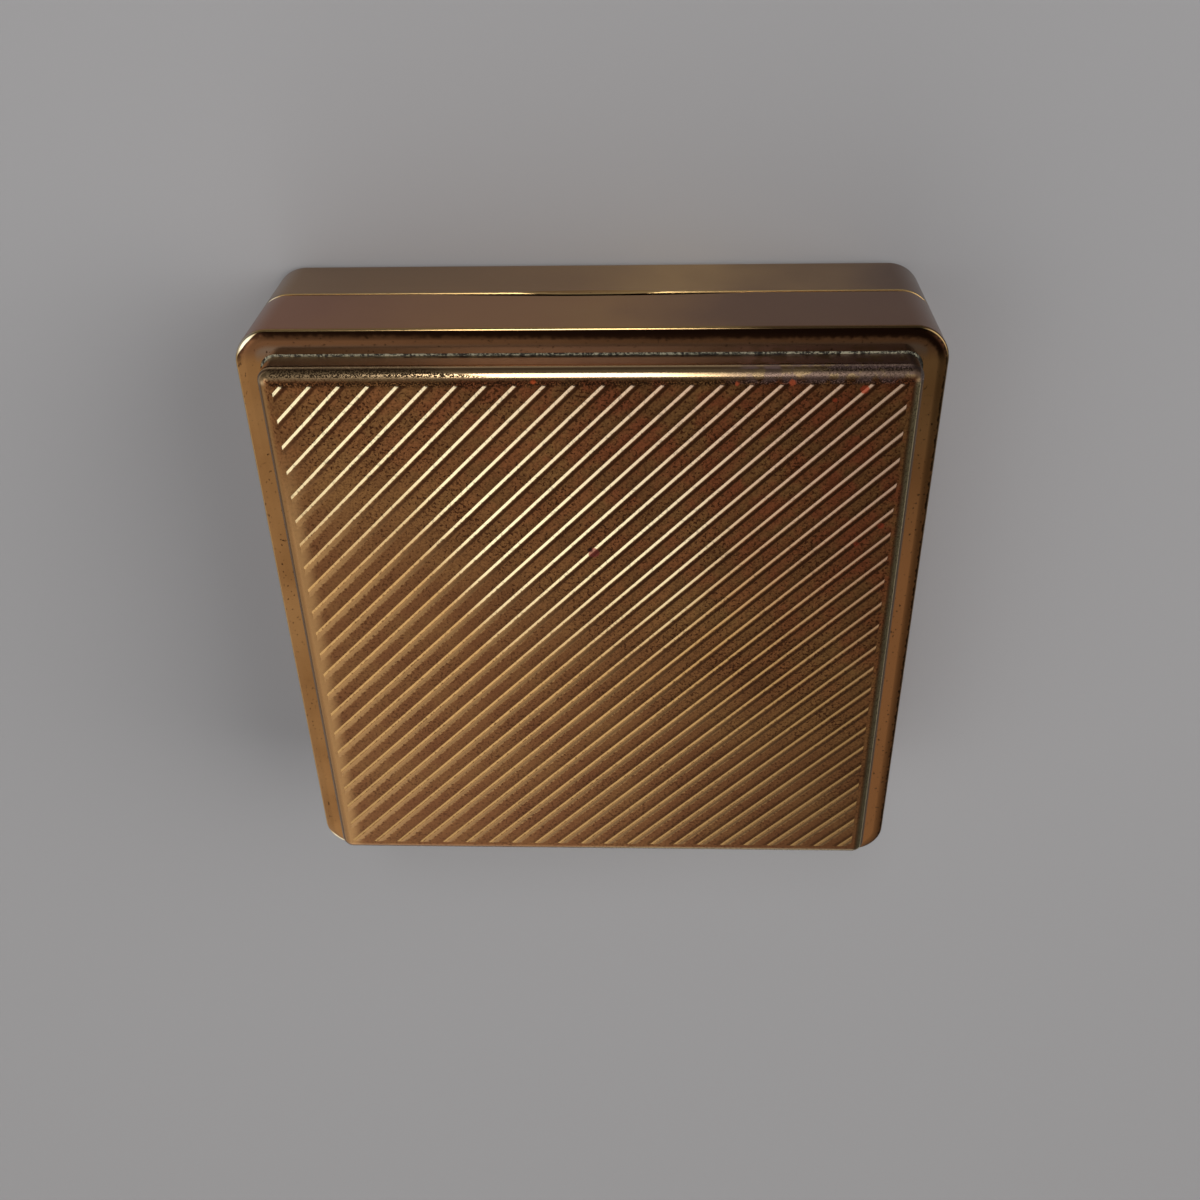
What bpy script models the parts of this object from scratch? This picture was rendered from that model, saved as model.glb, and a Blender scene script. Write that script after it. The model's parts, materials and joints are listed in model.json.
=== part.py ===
"""A small square brass keepsake box with a ribbed lid, lying shut on its base.

Metres, +Z up. The origin is the middle of the underside. The hinge is along the rear (+Y) and the
box opens at the front (-Y). The lid turns about an axis that runs along X at the parting line.
"""

import math

import bmesh
import bpy
from mathutils import Matrix, Vector

# Brass case, two drawn halves that meet at the parting line
side = 0.0760            # width and depth over the walls
base_height = 0.0094     # underside to the parting line
lid_height = 0.0103      # parting line to the flat rim round the panel
case_corner = 0.0040     # corner radius seen from above
case_edge = 0.0009       # rounding where the walls turn into the rim or the underside
wall = 0.0010            # brass of both halves
parting_chamfer = 0.0002  # broken edge on each side of the parting line
rim_border = 0.0027      # flat rim between the walls and the panel

# Pressed panel of the lid, let in from inside
panel_raise = 0.0037     # rim to the flat of the panel
panel_corner = 0.0015
panel_shoulder = 0.0014  # rounding from the panel's side to its flat
panel_sheet = 0.0008
rib_pitch = 0.0031       # from rib to rib, measured along a side of the box
rib_width = 0.00095      # at the foot
rib_crest = 0.0002       # flat of the top
rib_height = 0.0002
rib_margin = 0.0017      # rib ends back from the panel's side
rib_end_run = 0.00025    # how far a rib's end slopes back as it rises
rib_offset = 0.0007      # the pressing sits this far off the box's diagonal

# Scoops for a fingernail at the middle of the front
lid_nail_length = 0.0400
lid_nail_depth = 0.0009
base_nail_length = 0.0200
base_nail_depth = 0.0005
nail_slope = 0.6         # depth into the wall for each unit of height

# Hinge: two leaves of rolled sheet and a pin, let into a groove so that the barrel is flush
hinge_length = 0.0460
knuckle_count = 7
knuckle_gap = 0.0002
leaf_sheet = 0.00045
base_leaf_height = 0.0040
lid_opening = math.radians(105)  # the chamfered rear edges meet here and stop the lid
roll_angle = math.radians(285)   # how far a knuckle's sheet is rolled round the pin

# Inner frame that stands in the base and guides the lid
sleeve_sheet = 0.0006
sleeve_rise = 0.0020     # above the parting line
nib_length = 0.0090      # pressed bump that snaps into the lid
nib_height = 0.0007
nib_proud = 0.0002
nib_root = 0.00015       # how far the bump's middle lies inside the sheet

# Lining of the base
floor_card = 0.0010
lining_thickness = 0.0012
lining_drop = 0.0012     # lining's top edge below the sleeve's
divider_thickness = 0.0016
divider_height = 0.0064
rear_tray_depth = 0.0260
pad_thickness = 0.0018
pad_crown = 0.0006

# Mirror in the lid
mirror_card = 0.0008
mirror_glass = 0.0016
bezel_sheet = 0.0005
bezel_lip = 0.0022       # frame's face over the mirror's edge

# Clearances
seat_gap = 0.0003        # between pieces that are seated on each other
pin_clearance = 0.00005

# Smoothness of the curves
corner_steps = 7
edge_steps = 4
roll_steps = 18
pin_sides = 20
nail_steps = 18
finest_radius = 0.0003
cutter_margin = 0.0020

front = -side / 2
rear = side / 2
lid_edge_z = base_height + seat_gap / 2
base_edge_z = base_height - seat_gap / 2
rim_top = base_height + lid_height
rim_under = rim_top - wall

barrel_radius = (wall + seat_gap + leaf_sheet) / 2
bore_radius = barrel_radius - leaf_sheet
axis = Vector((0, rear - barrel_radius, base_height))

panel_half = side / 2 - rim_border - seat_gap
panel_top = rim_top + panel_raise
flange_top = rim_under - seat_gap
flange_under = flange_top - panel_sheet

mirror_card_z = flange_under - seat_gap - mirror_card
glass_z = mirror_card_z - seat_gap - mirror_glass
lip_top = glass_z - seat_gap
lip_under = lip_top - bezel_sheet

sleeve_front = front + wall + seat_gap
sleeve_rear = rear - 2 * barrel_radius - seat_gap
sleeve_half_x = side / 2 - wall - seat_gap
sleeve_half_y = (sleeve_rear - sleeve_front) / 2
sleeve_mid_y = (sleeve_rear + sleeve_front) / 2
sleeve_top = base_height + sleeve_rise
sleeve_corner = max(case_corner - wall - seat_gap, finest_radius)
floor_z = wall + seat_gap
lining_z = floor_z + floor_card + seat_gap

brass_dark = ("tarnished_brass", (0.30, 0.19, 0.085), 0.42, 1.0)
brass_rib = ("gilt_brass", (0.42, 0.27, 0.11), 0.34, 1.0)
brass_inner = ("clean_brass", (0.62, 0.44, 0.17), 0.28, 1.0)
brass_pin = ("hinge_brass", (0.36, 0.24, 0.11), 0.35, 1.0)
velvet = ("velvet", (0.16, 0.012, 0.028), 0.9, 0.0)
card_stock = ("card", (0.32, 0.27, 0.20), 0.85, 0.0)
silvered = ("mirror_glass", (0.75, 0.78, 0.78), 0.05, 1.0)


def clear_scene():
    for obj in list(bpy.data.objects):
        bpy.data.objects.remove(obj, do_unlink=True)


def material_for(finish):
    name, colour, roughness, metallic = finish
    made = bpy.data.materials.get(name)
    if made is None:
        made = bpy.data.materials.new(name)
        made.use_nodes = True
        shader = made.node_tree.nodes["Principled BSDF"]
        shader.inputs["Base Color"].default_value = (*colour, 1)
        shader.inputs["Roughness"].default_value = roughness
        shader.inputs["Metallic"].default_value = metallic
    return made


def add_object(name, bm, finish=None, smooth_angle=35):
    """Turns a bmesh with its place in its points into an object of the scene."""
    bmesh.ops.recalc_face_normals(bm, faces=bm.faces)
    mesh = bpy.data.meshes.new(name)
    bm.to_mesh(mesh)
    bm.free()
    obj = bpy.data.objects.new(name, mesh)
    bpy.context.scene.collection.objects.link(obj)
    if finish:
        mesh.materials.append(material_for(finish))
        mesh.shade_smooth()
        mesh.set_sharp_from_angle(angle=math.radians(smooth_angle))
    else:
        obj.hide_render = True
        obj.display_type = "WIRE"
    return obj


def combine(obj, tool, operation):
    modifier = obj.modifiers.new(tool.name, "BOOLEAN")
    modifier.operation = operation
    modifier.solver = "EXACT"
    modifier.object = tool


def rounded_loop(half_x, half_y, radius, z, mid_y=0.0, steps=corner_steps):
    """Points of a rounded rectangle, anticlockwise from its +X side."""
    points = []
    for corner, (sx, sy) in enumerate(((1, 1), (-1, 1), (-1, -1), (1, -1))):
        for step in range(steps + 1):
            angle = math.radians(90) * (corner + step / steps)
            x = sx * (half_x - radius) + radius * math.cos(angle)
            y = sy * (half_y - radius) + radius * math.sin(angle)
            points.append((x, mid_y + y, z))
    return points


def case_loop(inset, z):
    half = side / 2 - inset
    return rounded_loop(half, half, max(case_corner - inset, finest_radius), z)


def panel_loop(inset, z):
    half = panel_half - inset
    return rounded_loop(half, half, max(panel_corner - inset, finest_radius), z)


def sleeve_loop(inset, z):
    radius = max(sleeve_corner - inset, finest_radius)
    return rounded_loop(sleeve_half_x - inset, sleeve_half_y - inset, radius, z, sleeve_mid_y)


def loft(loops, ring=False):
    """Joins loops with equal numbers of points: capped at both ends, or closed into a ring."""
    bm = bmesh.new()
    rows = [[bm.verts.new(point) for point in loop] for loop in loops]
    pairs = list(zip(rows, rows[1:]))
    if ring:
        pairs.append((rows[-1], rows[0]))
    else:
        bm.faces.new(rows[0])
        bm.faces.new(rows[-1])
    for low, high in pairs:
        for i in range(len(low)):
            j = (i + 1) % len(low)
            bm.faces.new((low[i], low[j], high[j], high[i]))
    return bm


def quarter_round(radius, steps=edge_steps):
    """(inset, drop) of the points of a rounded edge, from its flat to its side."""
    for step in range(steps + 1):
        angle = math.radians(90) * step / steps
        yield radius * (1 - math.sin(angle)), radius * (1 - math.cos(angle))


def prism_along_x(outline, x_from, x_to):
    """Extrudes an outline of (y, z) points along X."""
    bm = bmesh.new()
    ends = [[bm.verts.new((x, y, z)) for y, z in outline] for x in (x_from, x_to)]
    bm.faces.new(ends[0])
    bm.faces.new(ends[1])
    for i in range(len(outline)):
        j = (i + 1) % len(outline)
        bm.faces.new((ends[0][i], ends[0][j], ends[1][j], ends[1][i]))
    return bm


def base_shell():
    loops = [case_loop(inset, drop) for inset, drop in quarter_round(case_edge)]
    loops.append(case_loop(0, base_edge_z - parting_chamfer))
    loops.append(case_loop(parting_chamfer, base_edge_z))
    loops.append(case_loop(wall, base_edge_z))
    loops.append(case_loop(wall, wall))
    shell = add_object("base_shell", loft(loops), brass_dark)
    combine(shell, rear_edge_cutter("base_rear_edge", base_edge_z, -1), "DIFFERENCE")
    combine(shell, hinge_groove_cutter("base_hinge_groove"), "DIFFERENCE")
    scoop = nail_cutter("base_nail_scoop", base_edge_z, -1, base_nail_length, base_nail_depth)
    combine(shell, scoop, "DIFFERENCE")
    return shell


def lid_shell():
    opening_half = panel_half + seat_gap
    opening_corner = panel_corner + seat_gap
    loops = [rounded_loop(opening_half, opening_half, opening_corner, rim_top)]
    loops += [case_loop(inset, rim_top - drop) for inset, drop in quarter_round(case_edge)]
    loops.append(case_loop(0, lid_edge_z + parting_chamfer))
    loops.append(case_loop(parting_chamfer, lid_edge_z))
    loops.append(case_loop(wall, lid_edge_z))
    loops.append(case_loop(wall, rim_under))
    loops.append(rounded_loop(opening_half, opening_half, opening_corner, rim_under))
    shell = add_object("lid_shell", loft(loops, ring=True), brass_dark)
    combine(shell, rear_edge_cutter("lid_rear_edge", lid_edge_z, 1), "DIFFERENCE")
    combine(shell, hinge_groove_cutter("lid_hinge_groove"), "DIFFERENCE")
    scoop = nail_cutter("lid_nail_scoop", lid_edge_z, 1, lid_nail_length, lid_nail_depth)
    combine(shell, scoop, "DIFFERENCE")
    combine(shell, nib_shape("lid_nib_dimple", seat_gap), "DIFFERENCE")
    return shell


def rear_edge_cutter(name, edge_z, up):
    """Wedge with its edge over the hinge axis: it slopes a half's rear edge by half the opening."""
    reach = barrel_radius + cutter_margin
    slope = math.tan(lid_opening / 2)
    outline = [
        (axis.y, edge_z),
        (axis.y + reach, edge_z + up * reach * slope),
        (axis.y + reach, edge_z - up * cutter_margin),
        (axis.y, edge_z - up * cutter_margin),
    ]
    beyond = side / 2 + cutter_margin
    return add_object(name, prism_along_x(outline, -beyond, beyond))


def hinge_groove_cutter(name):
    radius = barrel_radius + seat_gap
    outline = []
    for i in range(pin_sides * 2):
        angle = math.tau * i / (pin_sides * 2)
        outline.append((axis.y + radius * math.cos(angle), axis.z + radius * math.sin(angle)))
    reach = hinge_length / 2 + seat_gap
    return add_object(name, prism_along_x(outline, -reach, reach))


def nail_cutter(name, edge_z, up, length, depth):
    """A lens along the front edge: its sloped face runs deepest at the middle."""
    bm = bmesh.new()
    half = length / 2 + cutter_margin
    rows = []
    for i in range(nail_steps + 1):
        x = -half + 2 * half * i / nail_steps
        height = depth * (1 - (2 * x / length) ** 2)
        outer_y = front - cutter_margin
        inner_y = front + cutter_margin
        high = edge_z + up * (height + cutter_margin / nail_slope)
        low = edge_z + up * (height - cutter_margin / nail_slope)
        section = ((outer_y, high), (inner_y, low), (outer_y, low))
        rows.append([bm.verts.new((x, y, z)) for y, z in section])
    bm.faces.new(rows[0])
    bm.faces.new(rows[-1])
    for near, far in zip(rows, rows[1:]):
        for i in range(3):
            j = (i + 1) % 3
            bm.faces.new((near[i], near[j], far[j], far[i]))
    return add_object(name, bm)


def nib_shape(name, grow):
    """The snap's pressed bump on the front of the sleeve, or with grow the dimple that takes it."""
    bm = bmesh.new()
    bmesh.ops.create_uvsphere(bm, u_segments=16, v_segments=8, radius=1)
    size = Vector((nib_length / 2 + grow, nib_proud + nib_root + grow, nib_height / 2 + grow))
    turned = Matrix.Rotation(math.radians(90), 4, "Y")
    place = Matrix.Translation((0, sleeve_front + nib_root, base_height + sleeve_rise / 2))
    bmesh.ops.transform(bm, verts=bm.verts, matrix=place @ Matrix.Diagonal((*size, 1)) @ turned)
    return add_object(name, bm)


def lid_panel():
    """Pressed tray, mouth down: a flange under the rim, sides up through it, and the ribbed flat."""
    flange_inset = side / 2 - sleeve_half_x
    loops = [panel_loop(inset, panel_top - drop) for inset, drop in quarter_round(panel_shoulder)]
    loops.append(panel_loop(0, flange_top))
    loops.append(case_loop(flange_inset, flange_top))
    loops.append(case_loop(flange_inset, flange_under))
    loops.append(panel_loop(panel_sheet, flange_under))
    loops.append(panel_loop(panel_sheet, panel_top - panel_sheet))
    panel = add_object("lid_panel", loft(loops), brass_rib)
    combine(panel, ribs(), "UNION")
    return panel


def ribs():
    """Diagonal ribs, each a bar with sloped sides whose ends slope back from the panel's sides."""
    bm = bmesh.new()
    limit = panel_half - rib_margin
    along = Vector((1, 1, 0)).normalized()
    across = Vector((-1, 1, 0)).normalized()
    root = -panel_sheet / 2
    foot = rib_width / 2
    crest = rib_crest / 2
    # (across, height) of the section, rooted in the panel's sheet
    section = [
        (-foot, root), (-foot, 0), (-crest, rib_height),
        (crest, rib_height), (foot, 0), (foot, root),
    ]
    count = math.ceil(2 * limit / rib_pitch)
    for i in range(-count, count + 1):
        shift = i * rib_pitch - rib_offset  # y - x of this rib
        half = (2 * limit - abs(shift)) / math.sqrt(2)
        if half < rib_width * 0.55:
            continue
        # Its ends lie along a side in X and a side in Y, which of them first depends on the half it is in
        lean = 1 if shift < 0 else -1
        run = math.sqrt(2) * min(rib_end_run, (half - crest) / 2)
        middle = Vector((-shift / 2, shift / 2, panel_top))
        rows = []
        for end in (-1, 1):
            row = []
            for offset, height in section:
                back = run * max(height, 0) / rib_height
                distance = end * (half + lean * offset - back)
                point = middle + along * distance + across * offset
                row.append(bm.verts.new(point + Vector((0, 0, height))))
            rows.append(row)
            bm.faces.new(row)
        for j in range(len(section)):
            k = (j + 1) % len(section)
            bm.faces.new((rows[0][j], rows[0][k], rows[1][k], rows[1][j]))
    return add_object("rib_bars", bm)


def knuckle_spans():
    """(from, to) along X of every knuckle, the base's and the lid's in turn."""
    pitch = hinge_length / knuckle_count
    start = -hinge_length / 2
    spans = []
    for i in range(knuckle_count):
        low = start + i * pitch + (knuckle_gap / 2 if i else 0)
        high = start + (i + 1) * pitch - (knuckle_gap / 2 if i < knuckle_count - 1 else 0)
        spans.append((low, high))
    return spans


def hinge_leaf(name, own_spans, height, up):
    """A strip against the wall's inside, its fingers rolled round the pin. up is 1 above the axis."""
    inner, outer = -barrel_radius, -bore_radius
    shoulder = -(barrel_radius + seat_gap)
    plate = [(inner, -height), (outer, -height), (outer, shoulder), (inner, shoulder)]
    angles = [math.pi - roll_angle * i / roll_steps for i in range(roll_steps + 1)]
    bore = [(bore_radius * math.cos(a), bore_radius * math.sin(a)) for a in angles]
    barrel = [(barrel_radius * math.cos(a), barrel_radius * math.sin(a)) for a in reversed(angles)]

    bm = bmesh.new()

    def row(x, points):
        return [bm.verts.new((x, axis.y + y, axis.z - up * z)) for y, z in points]

    ends = {-hinge_length / 2, hinge_length / 2}
    stations = sorted(ends | {x for span in own_spans for x in span})
    plates = [row(x, plate) for x in stations]
    bm.faces.new(plates[0])
    bm.faces.new(plates[-1])
    for i, (near, far) in enumerate(zip(plates, plates[1:])):
        for a, b in ((0, 1), (1, 2), (3, 0)):
            bm.faces.new((near[a], near[b], far[b], far[a]))
        if (stations[i], stations[i + 1]) not in own_spans:
            bm.faces.new((near[2], near[3], far[3], far[2]))
            continue
        rolls = []
        for x, verts in ((stations[i], near), (stations[i + 1], far)):
            rolls.append([verts[2]] + row(x, bore + barrel) + [verts[3]])
            bm.faces.new(rolls[-1])
        for k in range(len(rolls[0]) - 1):
            bm.faces.new((rolls[0][k], rolls[0][k + 1], rolls[1][k + 1], rolls[1][k]))
    return add_object(name, bm, brass_pin)


def hinge_pin():
    radius = bore_radius - pin_clearance
    bm = bmesh.new()
    turned = Matrix.Translation(axis) @ Matrix.Rotation(math.radians(90), 4, "Y")
    bmesh.ops.create_cone(
        bm, cap_ends=True, segments=pin_sides, radius1=radius, radius2=radius,
        depth=hinge_length, matrix=turned,
    )
    rims = [edge for edge in bm.edges if abs(edge.verts[0].co.x - edge.verts[1].co.x) < 1e-6]
    bmesh.ops.bevel(bm, geom=rims, offset=radius / 3, segments=1, affect="EDGES")
    return add_object("hinge_pin", bm, brass_pin)


def base_sleeve():
    lead = sleeve_sheet / 3
    loops = [
        sleeve_loop(0, floor_z),
        sleeve_loop(0, sleeve_top - lead),
        sleeve_loop(lead, sleeve_top),
        sleeve_loop(sleeve_sheet, sleeve_top),
        sleeve_loop(sleeve_sheet, floor_z),
    ]
    sleeve = add_object("base_sleeve", loft(loops, ring=True), brass_inner)
    combine(sleeve, nib_shape("nib_bump", 0), "UNION")
    return sleeve


def slab(name, x_span, y_span, height, corner, finish, top_round=0.0):
    """A flat piece built on z = 0 and centred, to be placed by its location."""
    half_x = (x_span[1] - x_span[0]) / 2
    half_y = (y_span[1] - y_span[0]) / 2
    loops = [rounded_loop(half_x, half_y, corner, 0)]
    if top_round:
        for inset, drop in reversed(list(quarter_round(top_round, 3))):
            radius = max(corner - inset, finest_radius / 3)
            loops.append(rounded_loop(half_x - inset, half_y - inset, radius, height - drop))
    else:
        loops.append(rounded_loop(half_x, half_y, corner, height))
    made = add_object(name, loft(loops), finish)
    made.location = ((x_span[0] + x_span[1]) / 2, (y_span[0] + y_span[1]) / 2, 0)
    return made


def pad(name, x_span, y_span):
    """Velvet over wadding: straight low sides and a crowned top."""
    half_x = (x_span[1] - x_span[0]) / 2
    half_y = (y_span[1] - y_span[0]) / 2
    reach = min(half_x, half_y)
    corner = reach / 8
    # (share of the way to the middle, share of the height), up the side and then over the crown
    side_rows = ((0.03, 0.0), (0.0, 0.4), (0.01, 0.8), (0.06, 1.0))
    crown_rows = ((0.25, 0.45), (0.5, 0.8), (0.8, 1.0))
    loops = []
    for share, rise in side_rows:
        inset = share * reach
        loops.append(rounded_loop(half_x - inset, half_y - inset, corner, pad_thickness * rise))
    for share, rise in crown_rows:
        inset = share * reach
        level = pad_thickness + pad_crown * rise
        loops.append(rounded_loop(half_x - inset, half_y - inset, corner * (1 - share), level))
    made = add_object(name, loft(loops), velvet, 60)
    made.location = ((x_span[0] + x_span[1]) / 2, (y_span[0] + y_span[1]) / 2, lining_z)
    return made


def base_lining():
    """Card floor, covered strips round the walls, two dividers and a pad in each compartment."""
    outer = sleeve_sheet + seat_gap
    card_half_x = sleeve_half_x - outer
    card_front = sleeve_front + outer
    card_rear = sleeve_rear - outer
    corner = max(sleeve_corner - outer, finest_radius)
    floor = slab("floor_card", (-card_half_x, card_half_x), (card_front, card_rear),
                 floor_card, corner, card_stock)
    floor.location.z = floor_z

    strip = lining_thickness
    height = sleeve_top - lining_drop - lining_z
    straight_x = sleeve_half_x - sleeve_corner
    straight_front = sleeve_front + sleeve_corner
    straight_rear = sleeve_rear - sleeve_corner
    strips = {
        "front_lining": ((-straight_x, straight_x), (card_front, card_front + strip)),
        "rear_lining": ((-straight_x, straight_x), (card_rear - strip, card_rear)),
        "left_lining": ((-card_half_x, strip - card_half_x), (straight_front, straight_rear)),
        "right_lining": ((card_half_x - strip, card_half_x), (straight_front, straight_rear)),
    }
    made = [floor]
    for name, (x_span, y_span) in strips.items():
        made.append(slab(name, x_span, y_span, height, strip / 4, velvet, strip / 4))
        made[-1].location.z = lining_z

    inside_x = card_half_x - strip - seat_gap
    inside_front = card_front + strip + seat_gap
    inside_rear = card_rear - strip - seat_gap
    wall_rear = inside_rear - rear_tray_depth - seat_gap
    wall_front = wall_rear - divider_thickness
    half = divider_thickness / 2
    dividers = {
        "long_divider": ((-inside_x, inside_x), (wall_front, wall_rear)),
        "short_divider": ((-half, half), (inside_front, wall_front - seat_gap)),
    }
    for name, (x_span, y_span) in dividers.items():
        made.append(slab(name, x_span, y_span, divider_height, half / 2, velvet, half * 0.8))
        made[-1].location.z = lining_z

    made.append(pad("rear_pad", (-inside_x, inside_x), (wall_rear + seat_gap, inside_rear)))
    small = (inside_front, wall_front - seat_gap)
    made.append(pad("left_pad", (-inside_x, -half - seat_gap), small))
    made.append(pad("right_pad", (half + seat_gap, inside_x), small))
    return made


def lid_mirror():
    """Card backing and glass held in a folded brass frame under the panel's flange."""
    frame_inset = side / 2 - sleeve_half_x
    glass_inset = frame_inset + bezel_sheet + seat_gap
    face_inset = frame_inset + bezel_lip
    card = add_object(
        "mirror_card",
        loft([case_loop(glass_inset, mirror_card_z), case_loop(glass_inset, mirror_card_z + mirror_card)]),
        card_stock,
    )
    edge = mirror_glass / 6
    glass = add_object(
        "mirror_glass",
        loft([
            case_loop(glass_inset + edge, glass_z),
            case_loop(glass_inset, glass_z + edge),
            case_loop(glass_inset, glass_z + mirror_glass),
        ]),
        silvered,
    )
    bezel = add_object(
        "mirror_bezel",
        loft([
            case_loop(face_inset, lip_under),
            case_loop(frame_inset + edge, lip_under),
            case_loop(frame_inset, lip_under + edge),
            case_loop(frame_inset, flange_under - seat_gap),
            case_loop(frame_inset + bezel_sheet, flange_under - seat_gap),
            case_loop(frame_inset + bezel_sheet, lip_top),
            case_loop(face_inset, lip_top),
        ], ring=True),
        brass_inner,
    )
    return [card, glass, bezel]


def main():
    clear_scene()
    spans = knuckle_spans()
    base = bpy.data.objects.new("base_group", None)
    lid = bpy.data.objects.new("lid_hinge_axis", None)
    lid.location = axis
    for group in (base, lid):
        bpy.context.scene.collection.objects.link(group)

    base_leaf = hinge_leaf("base_hinge_leaf", spans[0::2], base_leaf_height, -1)
    lid_leaf_height = lip_under - seat_gap - axis.z
    lid_leaf = hinge_leaf("lid_hinge_leaf", spans[1::2], lid_leaf_height, 1)
    for piece in [base_shell(), base_sleeve(), base_leaf, hinge_pin()] + base_lining():
        piece.parent = base
    for piece in [lid_shell(), lid_panel(), lid_leaf] + lid_mirror():
        piece.parent = lid
        piece.matrix_parent_inverse = Matrix.Translation(-axis)


main()
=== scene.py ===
import json
import math

import bmesh
import bpy
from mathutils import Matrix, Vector

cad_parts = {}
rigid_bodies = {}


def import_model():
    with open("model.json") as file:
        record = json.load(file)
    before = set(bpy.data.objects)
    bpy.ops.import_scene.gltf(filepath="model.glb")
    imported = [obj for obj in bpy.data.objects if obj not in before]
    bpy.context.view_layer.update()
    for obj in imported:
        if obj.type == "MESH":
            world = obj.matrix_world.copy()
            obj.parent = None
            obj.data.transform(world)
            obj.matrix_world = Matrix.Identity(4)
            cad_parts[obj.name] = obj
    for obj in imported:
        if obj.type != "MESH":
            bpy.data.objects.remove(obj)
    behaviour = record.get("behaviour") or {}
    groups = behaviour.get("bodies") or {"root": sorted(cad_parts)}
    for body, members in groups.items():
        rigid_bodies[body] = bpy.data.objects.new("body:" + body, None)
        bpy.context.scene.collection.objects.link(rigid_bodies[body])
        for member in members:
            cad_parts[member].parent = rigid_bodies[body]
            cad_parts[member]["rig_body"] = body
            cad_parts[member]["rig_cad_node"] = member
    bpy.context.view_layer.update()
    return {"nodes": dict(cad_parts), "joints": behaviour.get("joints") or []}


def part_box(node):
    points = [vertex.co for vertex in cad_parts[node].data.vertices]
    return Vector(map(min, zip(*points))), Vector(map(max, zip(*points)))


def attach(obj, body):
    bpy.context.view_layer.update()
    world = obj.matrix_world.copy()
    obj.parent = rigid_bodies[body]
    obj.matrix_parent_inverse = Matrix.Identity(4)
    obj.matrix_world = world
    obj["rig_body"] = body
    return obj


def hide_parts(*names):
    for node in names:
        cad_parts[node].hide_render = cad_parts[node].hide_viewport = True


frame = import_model()

mm = 0.001
sameReach = 0.002 * mm      # two places nearer than this count as one
mergeReach = 0.001 * mm
cutReach = 0.0001 * mm
print("frame loaded")


# Tools for modelling

def pickNothing():
    if bpy.context.mode != "OBJECT":
        bpy.ops.object.mode_set(mode="OBJECT")
    bpy.ops.object.select_all(action="DESELECT")


def pick(obj):
    pickNothing()
    obj.select_set(True)
    bpy.context.view_layer.objects.active = obj


def select(obj, kind, test):
    # Enters edit mode with only those "VERT", "EDGE" or "FACE" elements selected for which test is true
    pick(obj)
    bpy.ops.object.mode_set(mode="EDIT")
    bpy.ops.mesh.select_mode(type=kind)
    bpy.ops.mesh.select_all(action="DESELECT")
    bm = bmesh.from_edit_mesh(obj.data)
    for element in {"VERT": bm.verts, "EDGE": bm.edges, "FACE": bm.faces}[kind]:
        if test(element):
            element.select_set(True)
    bm.select_flush_mode()
    bmesh.update_edit_mesh(obj.data)


def everything(element):
    return True


def near(a, b):
    return abs(a - b) < sameReach


def upright(edge):
    a, b = (v.co for v in edge.verts)
    return near(a.x, b.x) and near(a.y, b.y)


def facingAt(z, up):
    # A test for the level faces at height z whose normal points up (1) or down (-1)
    def test(face):
        return near(face.calc_center_median().z, z) and face.normal.z * up > 0.99
    return test


def levelAt(z):
    # A test for edges that lie at height z
    def test(edge):
        return all(near(v.co.z, z) for v in edge.verts)
    return test


def rimAt(z):
    # A test for edges that lie at height z and part a level face from a wall
    def test(edge):
        return levelAt(z)(edge) and len({abs(f.normal.z) > 0.7 for f in edge.link_faces}) == 2
    return test


def addBlock(low, high):
    # A cube primitive at its size and place, with the place in its mesh
    low, high = Vector(low), Vector(high)
    pickNothing()
    bpy.ops.mesh.primitive_cube_add(size=1, location=(low + high) / 2, scale=high - low)
    block = bpy.context.object
    bpy.ops.object.transform_apply(location=True, rotation=True, scale=True)
    return block


def bevelEdges(obj, test, radius, segments):
    select(obj, "EDGE", test)
    bpy.ops.mesh.bevel(offset=radius, segments=segments, affect="EDGES")


def addRoundedBlock(low, high, cornerRadius, segments):
    block = addBlock(low, high)
    bevelEdges(block, upright, cornerRadius, segments)
    return block


def insetFace(obj, test, thickness):
    select(obj, "FACE", test)
    bpy.ops.mesh.inset(thickness=thickness)


def push(distance):
    bpy.ops.mesh.extrude_region_move(TRANSFORM_OT_translate={"value": (0, 0, distance)})


def cutAway(obj, point, normal):
    # Cuts off all that lies past a plane, on the side that its normal points to, and closes the cut
    select(obj, "FACE", everything)
    bpy.ops.mesh.bisect(plane_co=point, plane_no=normal, use_fill=True, clear_outer=True,
                        threshold=cutReach)


def applyModifier(obj, kind, **settings):
    pick(obj)
    modifier = obj.modifiers.new(kind.title(), kind)
    for name, value in settings.items():
        setattr(modifier, name, value)
    bpy.ops.object.modifier_apply(modifier=modifier.name)


def cutWith(obj, cutter, operation="DIFFERENCE"):
    applyModifier(obj, "BOOLEAN", operation=operation, solver="EXACT", object=cutter)
    bpy.data.objects.remove(cutter, do_unlink=True)


def finishPiece(obj, name, body, replaced, material, sharpAngle=30):
    pick(obj)
    obj.name = name
    obj.data.name = name
    obj.data.materials.clear()
    obj.data.materials.append(material)
    bpy.ops.object.shade_smooth_by_angle(angle=math.radians(sharpAngle))
    applyModifier(obj, "WEIGHTED_NORMAL", keep_sharp=True)
    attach(obj, body)
    if replaced:
        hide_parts(*replaced)


def polishedCopy(node):
    # A copy of a CAD node with its loose triangles joined, so that it can be shaded smooth
    source = frame["nodes"][node]
    piece = source.copy()
    piece.data = source.data.copy()
    piece.parent = None
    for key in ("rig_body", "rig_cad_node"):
        del piece[key]
    bpy.context.scene.collection.objects.link(piece)
    select(piece, "VERT", everything)
    bpy.ops.mesh.remove_doubles(threshold=mergeReach)
    bpy.ops.mesh.dissolve_limited(angle_limit=math.radians(0.5))
    pick(piece)
    return piece


# Tools for materials

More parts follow.
